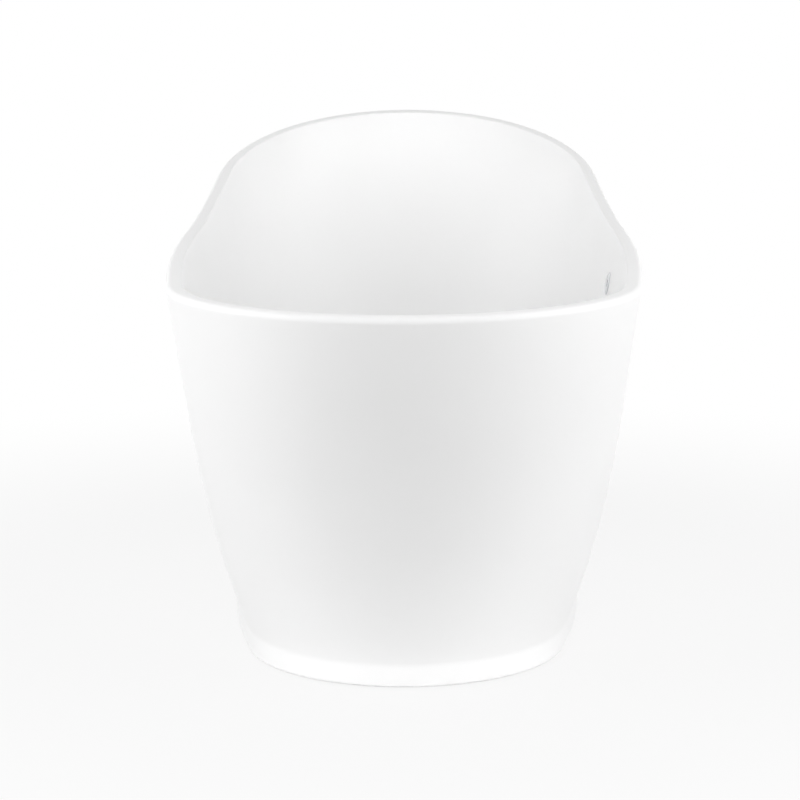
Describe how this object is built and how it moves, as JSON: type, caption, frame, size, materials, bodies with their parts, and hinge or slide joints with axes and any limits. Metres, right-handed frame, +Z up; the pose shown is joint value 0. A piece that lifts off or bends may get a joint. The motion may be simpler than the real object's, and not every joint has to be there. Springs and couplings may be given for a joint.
{
  "type": "freestanding bathtub",
  "caption": "Freestanding double-walled acrylic soaking tub, one end raised as a backrest, with side overflow, pop-up waste, steel frame and levelling feet",
  "frame": {"origin": "On the floor under the middle of the tub, at the centre of the underside of its bounding box.", "axes": "+Y runs from the low foot end to the raised head end, +X towards the side wall with the overflow, +Z up."},
  "size_m": [0.7684, 1.6982, 0.7741],
  "materials": {
    "acrylic": "high-gloss white sanitary acrylic",
    "board": "raw particle board",
    "block_wood": "planed softwood",
    "frame_steel": "grey powder-coated steel tube",
    "bracket_steel": "galvanised steel strip",
    "zinc_steel": "bright zinc-plated steel",
    "foot_plastic": "black moulded nylon",
    "chrome": "polished chrome plate",
    "brass": "turned brass",
    "rubber": "black rubber",
    "white_pipe": "white moulded plastic pipework"
  },
  "bodies": {
    "tub": {"basin_shell": "acrylic", "board_screws": "zinc_steel", "bracket_foot": "bracket_steel", "bracket_head": "bracket_steel", "bracket_left": "bracket_steel", "bracket_right": "bracket_steel", "bracket_screws": "zinc_steel", "branch_nut": "white_pipe", "branch_seal": "rubber", "click_cartridge": "brass", "drain_body": "white_pipe", "drain_flange": "chrome", "drain_nut": "white_pipe", "drain_washer": "rubber", "flange_gasket": "rubber", "floor_board": "board", "frame_cross_foot": "frame_steel", "frame_cross_head": "frame_steel", "frame_nuts": "zinc_steel", "frame_rail_left": "frame_steel", "frame_rail_right": "frame_steel", "lock_nuts": "zinc_steel", "outer_skirt": "acrylic", "overflow_body": "white_pipe", "overflow_gasket": "rubber", "overflow_pipe": "white_pipe", "overflow_ring": "chrome", "skirt_block_foot": "block_wood", "skirt_block_head": "block_wood", "skirt_block_left": "block_wood", "skirt_block_right": "block_wood", "tail_nut": "white_pipe", "tail_pipe": "white_pipe", "tail_seal": "rubber"},
    "foot_left_levelling_foot": {"foot_pad_foot_left": "foot_plastic", "foot_stud_foot_left": "zinc_steel"},
    "foot_right_levelling_foot": {"foot_pad_foot_right": "foot_plastic", "foot_stud_foot_right": "zinc_steel"},
    "head_left_levelling_foot": {"foot_pad_head_left": "foot_plastic", "foot_stud_head_left": "zinc_steel"},
    "head_right_levelling_foot": {"foot_pad_head_right": "foot_plastic", "foot_stud_head_right": "zinc_steel"},
    "waste_cap": {"drain_cap": "chrome", "cap_seal": "rubber", "cap_stem": "brass"}
  },
  "joints": [
    {"name": "foot_left_foot_height", "type": "slide", "parent": "tub", "child": "foot_left_levelling_foot", "axis": [0, 0, 1], "range_m": [-0.012, 0.001]},
    {"name": "foot_right_foot_height", "type": "slide", "parent": "tub", "child": "foot_right_levelling_foot", "axis": [0, 0, 1], "range_m": [-0.012, 0.001]},
    {"name": "head_left_foot_height", "type": "slide", "parent": "tub", "child": "head_left_levelling_foot", "axis": [0, 0, 1], "range_m": [-0.012, 0.001]},
    {"name": "head_right_foot_height", "type": "slide", "parent": "tub", "child": "head_right_levelling_foot", "axis": [0, 0, 1], "range_m": [-0.012, 0.001]},
    {"name": "waste_cap_lift", "type": "slide", "parent": "tub", "child": "waste_cap", "axis": [0, 0, 1], "range_m": [0, 0.008]}
  ]
}
